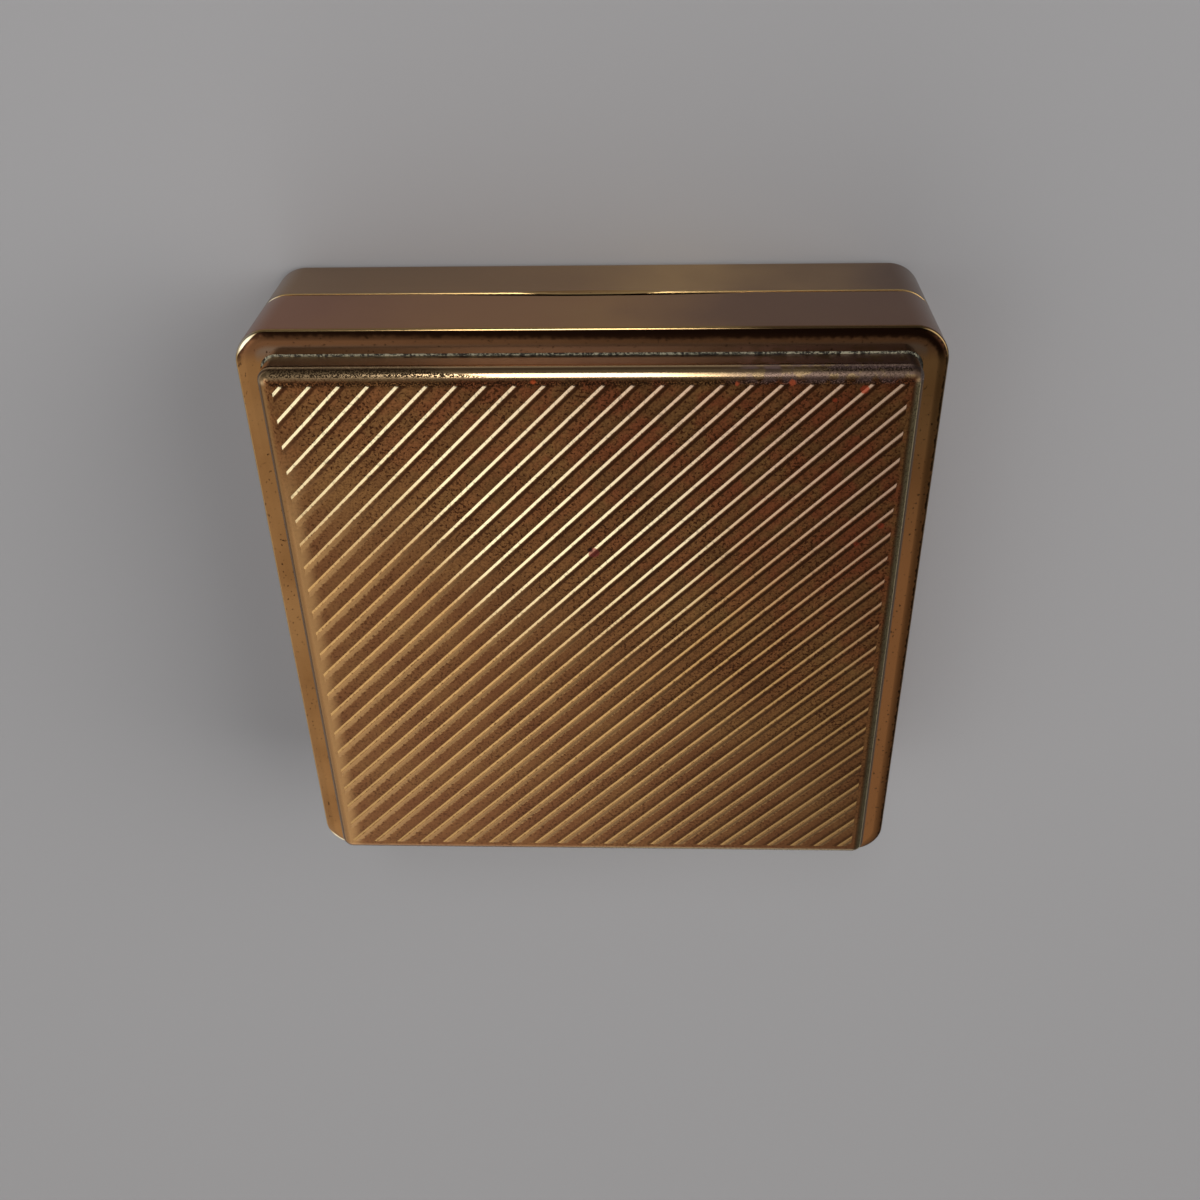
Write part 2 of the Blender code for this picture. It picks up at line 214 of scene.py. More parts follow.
def hexColour(text):
    # sRGB hex to linear
    values = [int(text[i:i + 2], 16) / 255 for i in (1, 3, 5)]
    linear = [v / 12.92 if v <= 0.04045 else ((v + 0.055) / 1.055) ** 2.4 for v in values]
    return (*linear, 1)


def startMaterial(name):
    material = bpy.data.materials.new(name)
    material.use_nodes = True
    return material, material.node_tree, material.node_tree.nodes["Principled BSDF"]


def setNode(tree, node, values):
    # Each value fills a field or a socket, by name or number, and another node's output is linked to it
    for name, value in values.items():
        if isinstance(value, bpy.types.NodeSocket):
            tree.links.new(value, node.inputs[name])
        elif isinstance(name, str) and hasattr(node, name):
            setattr(node, name, value)
        elif isinstance(value, str):
            node.inputs[name].default_value = hexColour(value)
        else:
            node.inputs[name].default_value = value


def addNode(tree, kind, values, output=0):
    node = tree.nodes.new("ShaderNode" + kind)
    setNode(tree, node, values)
    return node.outputs[output]


def fillRamp(ramp, stops):
    # ramp is the output of a colour ramp's node
    elements = ramp.node.color_ramp.elements
    while len(elements) < len(stops):
        elements.new(0.5)
    for element, (place, colour) in zip(elements, stops):
        element.position = place
        element.color = hexColour(colour)
    return ramp


# Settings that many nodes share
smooth = {"interpolation_type": "SMOOTHSTEP"}       # a Map Range that eases in and out
layer = {"data_type": "RGBA"}       # a Mix that lays the colour at 7 over the one at 6 where 0 is 1, out at 2
plus = {"operation": "ADD"}
minus = {"operation": "SUBTRACT"}
times = {"operation": "MULTIPLY"}
timesPlus = {"operation": "MULTIPLY_ADD"}       # socket 0 times socket 1, and socket 2 added
larger = {"operation": "MAXIMUM"}
smaller = {"operation": "MINIMUM"}
sizeOf = {"operation": "ABSOLUTE"}


# Brass sheet pressed into ribs, gilt worn off them and tarnish grown between.
# To the eye: pale gold ribs, each with an eaten edge on its lee, between brown speckled lands.

panelFinish = {
    "landColours": [(0.3, "#765032"), (0.5, "#88623c"), (0.7, "#967345")],
    "paintedLeeShade": "#3e2415",      # painted shade just past each lee
    "redTarnish": "#8a452f",
    "rubbedLand": "#70452f",
    "foot": "#2a170c",
    "ribBrass": "#a58456",
    # paler gilt towards the front middle, partly a painted highlight
    "paleBrass": "#e6dcb6",
    "pinkBrass": "#a98878",
    "leeGold": "#ae875a",
    "leeDark": "#70492f",
    "sideBrass": "#ccae84",     # the front shoulder, and then the ones at +X and -X
    "leftSide": "#8a673f",
    "rightSide": "#b5a985",
    "lilac": "#8f7674",
    # painted shade, for two lines on the lower shoulder
    "shoulderShade": "#46301d",
    "lowerSide": [      # under the shoulder, from -X to +X: painted light and shade, darkest in the middle and lightest towards +X
        (0.0, "#8a745f"), (0.28, "#6a5747"), (0.5, "#665243"), (0.62, "#7c6652"), (0.95, "#b49a7d"),
    ],
    "speck": "#452817",
    "grime": "#1c120b",
    "spots": [      # place and radius in mm, and colour: bare copper, and one dark chip with a red halo
        ((5.6, -33.7), 0.30, "#c05a32"), ((-21.3, -33.5), 0.35, "#b4583a"),
        ((-15.6, -33.4), 0.22, "#b4583a"), ((-28.8, -32.7), 0.45, "#a5482e"),
        ((-25.8, -31.5), 0.25, "#a5482e"), ((-32.1, -16.3), 0.40, "#9c472f"),
        ((-29.6, -13.9), 0.30, "#9c472f"), ((-0.25, -12.7), 0.62, "#7c3a34"),
        ((0.19, -13.05), 0.28, "#150d10"),
    ],
    "sideLines": [(0.77 * mm, 0.22 * mm), (1.38 * mm, 0.18 * mm)],      # depth below the land and half width, of two painted lines of shade on the lower shoulder
    "grains": {     # size in mm, detail and roughness of each noise
        "fine": (0.35, 4.0, 0.6), "blotches": (8, 6.0, 0.65), "patches": (4, 8.0, 0.6),
        "mottle": (0.26, 2.0, 0.5), "density": (5, 3.0, 0.5), "grit": (0.17, 3.0, 0.5),
        "stain": (1.6, 4.0, 0.5),
    },
    "wornShare": 0.55,      # of the most rubbed lands
    "sparedShare": -0.4,    # fewer specks there
    "ribEaten": 0.35,       # how ragged the bare side's edge is, by the lee's
    "paleWidening": -0.025,     # in pitches: the bare side reaches this much further where it is pale
    "roughness": 0.16,
    "landRoughness": 0.30,
    "grimeRoughness": 0.55,
    "speckDullness": 0.6,
    "relief": 0.10,
    "reliefHeight": 0.05 * mm,
}


def makePanelBrass(shape):
    finish = panelFinish
    material, tree, shader = startMaterial("pressed gilt brass, worn and tarnished")
    place = addNode(tree, "TexCoord", {}, "Object")
    x, y, z = addNode(tree, "SeparateXYZ", {0: place}).node.outputs
    # Where a point lies between ribs: 0 on a crest, -0.5 and 0.5 half way to the next, above 0 on the lee
    across = shape["ribPitch"] / math.sqrt(2)
    angle = math.radians(45) + shape["ribTurn"]
    lean = (-math.sin(angle) / across, math.cos(angle) / across, 0)
    turns = addNode(tree, "VectorMath", {"operation": "DOT_PRODUCT", 0: place, 1: lean}, "Value")
    turns = addNode(tree, "Math", {**plus, 0: turns, 1: shape["ribOffset"] / shape["ribPitch"] + 0.5})
    share = addNode(tree, "Math", {"operation": "FRACT", 0: turns})
    phase = addNode(tree, "Math", {**minus, 0: share, 1: 0.5})
    # How far it is from the middle towards a side, and below the land
    side = addNode(tree, "Math", {**larger, 0: addNode(tree, "Math", {**sizeOf, 0: x}),
                                  1: addNode(tree, "Math", {**sizeOf, 0: y})})
    limit = shape["raisedHalf"] - shape["ribMargin"]        # where the ribbed field ends
    depth = addNode(tree, "Math", {**minus, 0: shape["landZ"], 1: z})
    # Grows towards the corner at +X, +Y, which is rubbed most; the one at -X, -Y is reddest
    corner = addNode(tree, "Math", {**timesPlus, 0: y, 1: 1.5, 2: x})
    offMiddle = addNode(tree, "Math", {**sizeOf, 0: addNode(tree, "Math", {**minus, 0: x, 1: 1 * mm})})
    offClean = addNode(tree, "Math", {**sizeOf, 0: addNode(tree, "Math", {**plus, 0: x, 1: 4 * mm})})
    grain = {}
    for name, (size, detail, roughness) in finish["grains"].items():
        grain[name] = addNode(tree, "TexNoise", {"Vector": place, "Scale": 1 / (size * mm), "Detail": detail,
                                                 "Roughness": roughness})

    # Each kind of wear: what it goes by, where it starts and is full, and how strong it is at the two
    wear = {
        "onField": (side, limit + 0.05 * mm, limit - 0.1 * mm, 0.0, 1.0),
        "rubbed": (corner, -15 * mm, 15 * mm, 0.0, 1.0),
        "reddened": (corner, 20 * mm, -60 * mm, 0.0, 0.75),
        "patches": (grain["patches"], 0.38, 0.62, 0.0, 1.0),
        # The painted shade past each lee, stronger towards the front
        "shadeWeight": (y, 8 * mm, -14 * mm, 0.3, 0.85),
        # The rounded shoulder and the sides, and dirt caked on the one at -X
        "shoulder": (side, limit + 0.4 * mm, limit + 1.0 * mm, 0.0, 0.9),
        "polished": (side, limit + 0.3 * mm, limit + 0.6 * mm, 0.0, 1.0),
        "toLeft": (x, -10 * mm, 10 * mm, 0.0, 1.0),
        "atFront": (y, -limit + 0.1 * mm, -limit - 0.4 * mm, 0.0, 1.0),
        "lower": (z, shape["landZ"] - 1.1 * mm, shape["landZ"] - 1.5 * mm, 0.0, 1.0),
        "caked": (x, -34.40 * mm, -34.62 * mm, 0.0, 0.98),
        "spotted": (grain["grit"], 0.55, 0.62, 0.0, 1.0),
        "stain": (grain["stain"], 0.40, 0.52, 0.0, 0.7),
        "stainFrom": (x, -13 * mm, -19 * mm, 0.0, 1.0),
        # The front margin's grime, which hands keep off the middle of the shoulder
        "cleanTo": (offClean, 12 * mm, 22 * mm, 0.85 * mm - shape["raisedHalf"], -shape["raisedHalf"]),
        "behind": (y, -limit + 0.5 * mm, -limit - 0.2 * mm, 0.0, 1.0),
        "crumbly": (grain["grit"], 0.42, 0.50, 0.0, 0.95),
        "offCorner": (x, 34.0 * mm, 33.2 * mm, 0.0, 1.0),
        "crestReach": (x, -6 * mm, -14 * mm, 0.07 * mm, 0.20 * mm),
        "cornerDirt": (x, -33.0 * mm, -34.0 * mm, 0.0, 0.9),
        "cornerFront": (y, -33.0 * mm, -34.0 * mm, 0.0, 1.0),
        # The left margin, rubbed to the same gilt as the ribs' lee
        "margin": (x, 31.6 * mm, 33.4 * mm, 0.0, 0.8),
        "marginFrom": (y, -28 * mm, -14 * mm, 0.0, 1.0),
        # The ribs, across each of them, and a dark line along their foot, most towards -X
        "leeFrom": (phase, -0.04, 0.0, 0.0, 1.0),
        "ribFront": (phase, -0.155, -0.13, 0.0, 1.0),
        "palerFrom": (offMiddle, 9 * mm, 20 * mm, 0.0, 14 * mm),
        "pinker": (corner, -10 * mm, -66 * mm, 0.0, 0.85),
        "foot": (phase, -0.41, -0.27, 0.0, 1.0),
        "footEnd": (phase, -0.13, -0.15, 0.0, 1.0),
        "footWeight": (x, 30 * mm, -18 * mm, 0.10, 0.55),
    }
    for name, (source, start, end, low, high) in wear.items():
        wear[name] = addNode(tree, "MapRange", {**smooth, 0: source, 1: start, 2: end, 3: low, 4: high})
    for name, opposite in (("rubbed", "unrubbed"), ("shoulder", "offShoulder"), ("toLeft", "toRight"),
                           ("atFront", "offFront"), ("lower", "upper")):
        wear[opposite] = addNode(tree, "Math", {**minus, 0: 1.0, 1: wear[name]})

    # The ribs' edges are eaten, most where the panel is rubbed, and a painted shade follows each lee
    ragged = addNode(tree, "MapRange", {0: wear["rubbed"], 3: 0.10, 4: 0.40})
    eaten = addNode(tree, "Math", {**minus, 0: grain["fine"], 1: 0.5})
    eaten = addNode(tree, "Math", {**times, 0: ragged, 1: eaten})
    eatenPhase = addNode(tree, "Math", {**plus, 0: phase, 1: eaten})
    shade = addNode(tree, "Math", {**sizeOf, 0: addNode(tree, "Math", {**minus, 0: eatenPhase, 1: 0.12})})
    wear["shade"] = addNode(tree, "MapRange", {**smooth, 0: shade, 1: 0.13, 2: 0.04})
    wear["lee"] = addNode(tree, "MapRange", {**smooth, 0: eatenPhase, 1: 0.31, 2: 0.17})
    wear["leeWeight"] = addNode(tree, "MapRange", {0: wear["rubbed"], 3: 0.15, 4: 0.9})
    # Paler towards the front middle, partly a painted highlight that whitens the ribs' reflections there
    paler = addNode(tree, "Math", {**plus, 0: y, 1: wear["palerFrom"]})
    paler = addNode(tree, "MapRange", {**smooth, 0: paler, 1: 6 * mm, 2: -18 * mm})
    rib = addNode(tree, "Math", {**timesPlus, 0: eaten, 1: finish["ribEaten"], 2: phase})
    rib = addNode(tree, "Math", {**timesPlus, 0: paler, 1: finish["paleWidening"], 2: rib})
    wear["rib"] = addNode(tree, "MapRange", {**smooth, 0: rib, 1: -0.01, 2: -0.07})
    # Grime starts behind the line that hands reach to, and is thin along the crest
    grime = addNode(tree, "Math", {**minus, 0: y, 1: wear["cleanTo"]})
    wear["grime"] = addNode(tree, "MapRange", {**smooth, 0: grime, 1: -0.1 * mm, 2: 0.3 * mm})
    crestLine = addNode(tree, "Math", {**minus, 0: depth, 1: wear["crestReach"]})
    crestLine = addNode(tree, "Math", {**sizeOf, 0: crestLine})
    crestLine = addNode(tree, "Math", {"operation": "DIVIDE", 0: crestLine, 1: wear["crestReach"]})
    wear["crestLine"] = addNode(tree, "MapRange", {**smooth, 0: crestLine, 1: 0.5, 2: 1.1, 3: 0.3})
    for name, *factors in (
            ("patches", "reddened"),
            ("shade", "shadeWeight", "unrubbed", "onField"),
            ("stain", "stainFrom", "atFront"),
            ("spotted", "shoulder", "toRight", "offFront"),
            ("grime", "behind", "crumbly", "offCorner", "crestLine"),
            ("cornerDirt", "cornerFront"),
            ("lee", "leeFrom", "leeWeight", "onField"),
            ("margin", "marginFrom", "offShoulder"),
            ("rib", "ribFront", "onField"),
            ("foot", "footEnd", "footWeight", "onField"),
            ("polished", "upper")):
        for factor in factors:
            wear[name] = addNode(tree, "Math", {**times, 0: wear[name], 1: wear[factor]})
    bared = addNode(tree, "Math", {**times, 0: wear["rubbed"], 1: finish["wornShare"]})
    grime = addNode(tree, "Math", {**larger, 0: wear["grime"], 1: wear["cornerDirt"]})

    # Mottling, and dark specks thicker in some places
    spared = addNode(tree, "Math", {**timesPlus, 0: wear["rubbed"], 1: finish["sparedShare"], 2: 1.0})
    spared = addNode(tree, "Math", {**times, 0: wear["offShoulder"], 1: spared})
    mottle = addNode(tree, "MapRange", {0: grain["mottle"], 1: 0.36, 2: 0.58, 3: 0.5, 4: 0.0})
    mottle = addNode(tree, "Math", {**times, 0: mottle, 1: spared})
    density = addNode(tree, "MapRange", {0: grain["density"], 1: 0.3, 2: 0.7, 3: -0.06, 4: 0.04})
    density = addNode(tree, "Math", {**timesPlus, 0: wear["shade"], 1: 0.08, 2: density})
    specks = addNode(tree, "Math", {**plus, 0: grain["fine"], 1: density})
    specks = addNode(tree, "MapRange", {**smooth, 0: specks, 1: 0.54, 2: 0.61})
    specks = addNode(tree, "Math", {**times, 0: specks, 1: spared})

    # Colours that change from place to place
    colour = fillRamp(addNode(tree, "ValToRGB", {"Fac": grain["blotches"]}), finish["landColours"])
    sides = addNode(tree, "Mix", {**layer, 0: wear["toLeft"], 6: finish["rightSide"],
                                  7: finish["leftSide"]}, 2)
    sides = addNode(tree, "Mix", {**layer, 0: wear["atFront"], 6: sides, 7: finish["sideBrass"]}, 2)
    # The side under the shoulder, with painted light and shade along it
    along = addNode(tree, "Math", {**timesPlus, 0: x, 1: 0.5 / limit, 2: 0.5})
    lowerSide = fillRamp(addNode(tree, "ValToRGB", {"Fac": along}), finish["lowerSide"])
    lowerSide = addNode(tree, "Mix", {**layer, 0: wear["caked"], 6: lowerSide, 7: finish["grime"]}, 2)
    leeColour = addNode(tree, "Mix", {**layer, 0: wear["rubbed"], 6: finish["leeDark"],
                                      7: finish["leeGold"]}, 2)
    bare = addNode(tree, "Mix", {**layer, 0: paler, 6: finish["ribBrass"], 7: finish["paleBrass"]}, 2)
    bare = addNode(tree, "Mix", {**layer, 0: wear["pinker"], 6: bare, 7: finish["pinkBrass"]}, 2)

    # Each layer lies over those before it
    layers = [(wear["patches"], finish["redTarnish"]), (bared, finish["rubbedLand"]),
              (wear["shade"], finish["paintedLeeShade"]), (wear["shoulder"], sides),
              (wear["caked"], finish["grime"]), (wear["lower"], lowerSide)]
    # Two painted lines of shade on the lower shoulder
    for lineDepth, reach in finish["sideLines"]:
        line = addNode(tree, "Math", {**sizeOf, 0: addNode(tree, "Math", {**minus, 0: depth, 1: lineDepth})})
        line = addNode(tree, "MapRange", {**smooth, 0: line, 1: reach, 2: 0.4 * reach, 4: 0.85})
        layers.append((line, finish["shoulderShade"]))
    layers += [(mottle, finish["speck"]), (specks, finish["speck"]), (wear["stain"], finish["lilac"]),
               (wear["spotted"], finish["speck"]), (grime, finish["grime"]), (wear["lee"], leeColour),
               (wear["margin"], finish["leeGold"]), (wear["rib"], bare), (wear["foot"], finish["foot"])]
    for (spotX, spotY), radius, spotColour in finish["spots"]:
        away = addNode(tree, "VectorMath", {"operation": "DISTANCE", 0: place,
                                            1: (spotX * mm, spotY * mm, shape["landZ"])}, "Value")
        away = addNode(tree, "Math", {**timesPlus, 0: grain["fine"], 1: 0.5 * mm, 2: away})
        spot = addNode(tree, "MapRange", {**smooth, 0: away, 1: (radius + 0.35) * mm, 2: (radius + 0.15) * mm,
                                          4: 0.85})
        layers.append((spot, spotColour))
    for weight, top in layers:
        colour = addNode(tree, "Mix", {**layer, 0: weight, 6: colour, 7: top}, 2)

    polished = addNode(tree, "Math", {**larger, 0: wear["polished"], 1: wear["rib"]})
    roughness = addNode(tree, "Mix", {0: polished, 2: finish["landRoughness"], 3: finish["roughness"]})
    dull = addNode(tree, "Math", {**times, 0: specks, 1: finish["speckDullness"]})
    dull = addNode(tree, "Math", {**larger, 0: grime, 1: dull})
    roughness = addNode(tree, "Mix", {0: dull, 2: roughness, 3: finish["grimeRoughness"]})
    relief = addNode(tree, "Mix", {0: polished, 2: finish["relief"], 3: 0.0})
    setNode(tree, shader, {
        "Base Color": colour,
        "Roughness": addNode(tree, "Math", {**larger, 0: roughness, 1: wear["caked"]}),
        "Metallic": addNode(tree, "Math", {**minus, 0: 1.0, 1: wear["caked"]}),
        "Normal": addNode(tree, "Bump", {"Strength": relief, "Distance": finish["reliefHeight"],
                                         "Height": grain["fine"]}),
    })
    return material


# Brass drawn in dies, polished once and browned by handling since: soft reflections, a few dark spots,
# the walls duller than the rim, dirt and painted shade in the parting line, painted reflections and shade on
# walls and edges.

shellFinish = {
    "rimColours": [(0.3, "#7f5934"), (0.5, "#8f6840"), (0.7, "#9c754b")],
    "frontRim": "#6f4c36",
    "innerRim": "#7d6a5a",      # beside the crevice
    "litSideRim": "#b37a4c",       # painted light on the rim's side at -X, towards the rear
    "paintedDarkBand": "#2f1b12",          # a painted dark reflection along the rim's front edge
    "edge": "#cfae77",          # brass rubbed bare on the edges, partly a painted highlight
    # near white on the corners at +X: a painted highlight
    "cornerEdgeHighlight": "#efe6cc",
    "lidWall": [        # from -X to +X, with a painted reflection in the middle and painted shade towards -X
        (0.08, "#7c5842"), (0.28, "#866248"), (0.48, "#b28756"), (0.66, "#ac7c51"), (0.9, "#9a684a"),
    ],
    # the same on the base: a painted reflection in the middle, painted shade towards -X
    "baseWall": [
        (0.05, "#745640"), (0.22, "#a07e55"), (0.36, "#c49f69"), (0.58, "#a58158"), (0.9, "#967552"),
    ],
    "speck": "#3f2918",
    # dirt, and painted shade in the parting line and on the rim's edge at -X
    "dirtAndShade": "#15100b",
    "roughness": 0.15,
    "wallRoughness": 0.25,
    "grains": {     # size in mm and detail of each noise
        "blotches": (12, 6.0), "eaten": (0.5, 4.0), "specks": (0.38, 2.0),
    },
    "cornerWidth": 0.32 * mm,       # how much wider the bare edge and its painted highlight are on a corner
}


def makeShellBrass(shape):
    finish = shellFinish
    material, tree, shader = startMaterial("drawn brass, polished and browned with age")
    half, partingZ = shape["half"], shape["partingZ"]
    place = addNode(tree, "TexCoord", {}, "Object")
    x, y, z = addNode(tree, "SeparateXYZ", {0: place}).node.outputs
    grain = {}
    for name, (size, detail) in finish["grains"].items():
        grain[name] = addNode(tree, "TexNoise", {"Vector": place, "Scale": 1 / (size * mm), "Detail": detail})
    # How far a point lies past the walls' straight parts, and inside their outer faces and rounded corners
    straight = half - shape["cornerRadius"]
    alongX, alongY = (
        addNode(tree, "Math", {**minus, 0: addNode(tree, "Math", {**sizeOf, 0: axis}), 1: straight})
        for axis in (x, y))
    beyond = addNode(tree, "CombineXYZ", {0: addNode(tree, "Math", {**larger, 0: alongX, 1: 0.0}),
                                          1: addNode(tree, "Math", {**larger, 0: alongY, 1: 0.0})})
    beyond = addNode(tree, "VectorMath", {"operation": "LENGTH", 0: beyond}, "Value")
    within = addNode(tree, "Math", {**larger, 0: alongX, 1: alongY})
    within = addNode(tree, "Math", {**smaller, 0: within, 1: 0.0})
    inward = addNode(tree, "Math", {**minus, 0: shape["cornerRadius"], 1: beyond})
    inward = addNode(tree, "Math", {**minus, 0: inward, 1: within})
    bothAlong = addNode(tree, "Math", {**smaller, 0: alongX, 1: alongY})
    gap = addNode(tree, "Math", {**sizeOf, 0: addNode(tree, "Math", {**minus, 0: z, 1: partingZ})})

    # Each kind of wear: what it goes by, where it starts and is full, and how strong it is at the two
    wear = {
        "onRim": (z, shape["rimZ"] - 0.5 * mm, shape["rimZ"] - 0.25 * mm, 0.0, 1.0),
        "onLid": (z, partingZ - 0.1 * mm, partingZ + 0.1 * mm, 0.0, 1.0),
        "front": (y, -34 * mm, -36 * mm, 0.0, 0.8),
        "inner": (inward, 1.5 * mm, 2.2 * mm, 0.0, 1.0),
        "besidePanel": (alongX, 1.9 * mm, 1.3 * mm, 0.0, 1.0),
        # Painted light on the rim's side at -X, towards the rear
        "sideLit": (x, -34 * mm, -36 * mm, 0.0, 0.9),
        "sideLitFrom": (y, -34 * mm, -6 * mm, 0.0, 1.0),
        "bandFrom": (x, 30 * mm, -10 * mm, 0.5 * mm, 0.0),
        "bandSide": (y, -33.5 * mm, -35.5 * mm, 0.0, 1.0),
        "rightEdgeShadeFrom": (x, -33 * mm, -35 * mm, 0.0, 1.0),
        # Edges rubbed bare and partly a painted highlight: most towards +X from the middle of the front, and
        # widest on the corners there
        "middle": (x, -20 * mm, -13 * mm, 0.25, 1.0),
        "corner": (bothAlong, 0.8 * mm, 2.2 * mm, 0.0, finish["cornerWidth"]),
        "cornerSide": (x, 0.0, 10 * mm, 0.0, 1.0),
        # Dirt and painted shade in the parting line
        "parting": (inward, 0.2 * mm, 0.35 * mm, 0.0, 1.0),
        "partingGap": (gap, 0.4 * mm, 0.3 * mm, 0.0, 1.0),
    }
    for name, (source, start, end, low, high) in wear.items():
        wear[name] = addNode(tree, "MapRange", {**smooth, 0: source, 1: start, 2: end, 3: low, 4: high})
    wear["corner"] = addNode(tree, "Math", {**times, 0: wear["corner"], 1: wear["cornerSide"]})
    # A painted dark reflection along the rim's front edge and corners
    paintedDarkBand = addNode(tree, "Math", {**timesPlus, 0: grain["eaten"], 1: 0.8 * mm, 2: inward})
    paintedDarkBand = addNode(tree, "Math", {**plus, 0: paintedDarkBand, 1: wear["bandFrom"]})
    wear["paintedDarkBand"] = addNode(tree, "MapRange", {**smooth, 0: paintedDarkBand, 1: 1.9 * mm, 2: 1.3 * mm, 4: 0.94})
    # Painted shade along the rim's outer edge on the side at -X
    rightEdgeShade = addNode(tree, "Math", {**timesPlus, 0: grain["eaten"], 1: 0.9 * mm, 2: inward})
    wear["rightEdgeShade"] = addNode(tree, "MapRange", {**smooth, 0: rightEdgeShade, 1: 0.86 * mm, 2: 0.74 * mm, 4: 0.85})
    bare = addNode(tree, "Math", {**minus, 0: inward, 1: wear["corner"]})
    wear["bare"] = addNode(tree, "MapRange", {**smooth, 0: bare, 1: 0.24 * mm, 2: 0.16 * mm})
    for name, *factors in (("inner", "front", "besidePanel"), ("sideLit", "sideLitFrom"), ("paintedDarkBand", "bandSide"),
                           ("rightEdgeShade", "onRim", "rightEdgeShadeFrom"), ("bare", "onRim", "middle"),
                           ("parting", "partingGap")):
        for factor in factors:
            wear[name] = addNode(tree, "Math", {**times, 0: wear[name], 1: wear[factor]})
    # Bare edges and a painted highlight along the parting line's chamfers
    parted = addNode(tree, "Math", {**timesPlus, 0: grain["eaten"], 1: 0.15 * mm, 2: gap})
    parted = addNode(tree, "MapRange", {**smooth, 0: parted, 1: 0.44 * mm, 2: 0.36 * mm, 4: 0.85})
    bare = addNode(tree, "Math", {**larger, 0: wear["bare"], 1: parted})
    specks = addNode(tree, "Math", {**timesPlus, 0: wear["onRim"], 1: 0.055, 2: grain["specks"]})
    specks = addNode(tree, "MapRange", {**smooth, 0: specks, 1: 0.71, 2: 0.77})

    # Each layer lies over those before it, first on the rim and then on the whole
    rim = fillRamp(addNode(tree, "ValToRGB", {"Fac": grain["blotches"]}), finish["rimColours"])
    for name, top in (("front", "frontRim"), ("inner", "innerRim"), ("sideLit", "litSideRim"), ("paintedDarkBand", "paintedDarkBand")):
        rim = addNode(tree, "Mix", {**layer, 0: wear[name], 6: rim, 7: finish[top]}, 2)
    # Walls: a painted reflection bright in the middle, and painted shade darker to -X
    along = addNode(tree, "Math", {**timesPlus, 0: x, 1: 0.5 / half, 2: 0.5})
    along = addNode(tree, "Math", {**timesPlus, 0: grain["blotches"], 1: 0.3, 2: along})
    along = addNode(tree, "Math", {**minus, 0: along, 1: 0.15})
    colour = fillRamp(addNode(tree, "ValToRGB", {"Fac": along}), finish["baseWall"])
    lidWall = fillRamp(addNode(tree, "ValToRGB", {"Fac": along}), finish["lidWall"])
    rounded = addNode(tree, "MapRange", {0: wear["corner"], 1: 0.0, 2: finish["cornerWidth"]})
    edge = addNode(tree, "Mix", {**layer, 0: rounded, 6: finish["edge"], 7: finish["cornerEdgeHighlight"]}, 2)
    for weight, top in ((wear["onLid"], lidWall), (wear["onRim"], rim), (specks, finish["speck"]),
                        (wear["rightEdgeShade"], finish["dirtAndShade"]), (bare, edge), (wear["parting"], finish["dirtAndShade"])):
        colour = addNode(tree, "Mix", {**layer, 0: weight, 6: colour, 7: top}, 2)
    roughness = addNode(tree, "Mix", {0: wear["onRim"], 2: finish["wallRoughness"], 3: finish["roughness"]})
    setNode(tree, shader, {"Base Color": colour, "Roughness": roughness, "Metallic": 1.0})
    return material


# Finishes of the hinge and of the pieces inside. size is that of their blotches or fibres, in mm.

innerFinish = {     # rolled sheet rubbed to a satin and kept from air, so it is still yellow
    "name": "satin brass sheet",
    "size": 10, "detail": 4.0, "colours": [(0.3, "#c9a15c"), (0.5, "#dcb872"), (0.7, "#e6c885")],
    "surface": {"Metallic": 1.0, "Roughness": 0.28},
}
hingeFinish = {     # strip rolled round a pin and soldered, never polished
    "name": "rolled brass strip, dull with age",
    "size": 4, "detail": 4.0, "colours": [(0.3, "#7a5a38"), (0.5, "#9c7747"), (0.7, "#b08a58")],
    "surface": {"Metallic": 1.0, "Roughness": 0.4},
}
cardFinish = {      # brown board laid up from pulp: matt, with short fibres
    "name": "brown pulp board",
    "size": 0.8, "detail": 5.0, "colours": [(0.3, "#5b4b3b"), (0.5, "#6c5a47"), (0.7, "#7a6752")],
    "surface": {"Roughness": 0.9},
}
velvetFinish = {    # woven silk with a cut pile: dark face on, light along its edges, crushed in patches
    "name": "silk velvet, woven with a cut pile",
    "size": 6, "detail": 5.0, "colours": [(0.3, "#4c101a"), (0.5, "#591420"), (0.7, "#671927")],
    "surface": {"Roughness": 0.9, "Sheen Weight": 0.6, "Sheen Roughness": 0.4, "Sheen Tint": "#d8808c"},
    "pile": 0.3,    # size of its tufts, under half a millimetre
    "pileStrength": 0.5,
    "pileHeight": 0.15 * mm,
}
mirrorFinish = {    # float glass silvered on its back, so it is drawn as a smooth metal with a faint haze
    "name": "silvered float glass",
    "haze": 14,     # size of its patches in mm
    "hazeRoughness": (0.02, 0.08),
    "surface": {"Base Color": "#dfe5e3", "Metallic": 1.0},
}


def makeInsideFinish(finish):
    material, tree, shader = startMaterial(finish["name"])
    place = addNode(tree, "TexCoord", {}, "Object")
    blotches = addNode(tree, "TexNoise", {"Vector": place, "Scale": 1 / (finish["size"] * mm),
                                          "Detail": finish["detail"]})
    base = fillRamp(addNode(tree, "ValToRGB", {"Fac": blotches}), finish["colours"])
    setNode(tree, shader, {"Base Color": base, **finish["surface"]})
    if "pile" in finish:
        pile = addNode(tree, "TexNoise", {"Vector": place, "Scale": 1 / (finish["pile"] * mm), "Detail": 3.0})
        bump = addNode(tree, "Bump", {"Strength": finish["pileStrength"], "Distance": finish["pileHeight"],
                                      "Height": pile})
        setNode(tree, shader, {"Normal": bump})
    return material


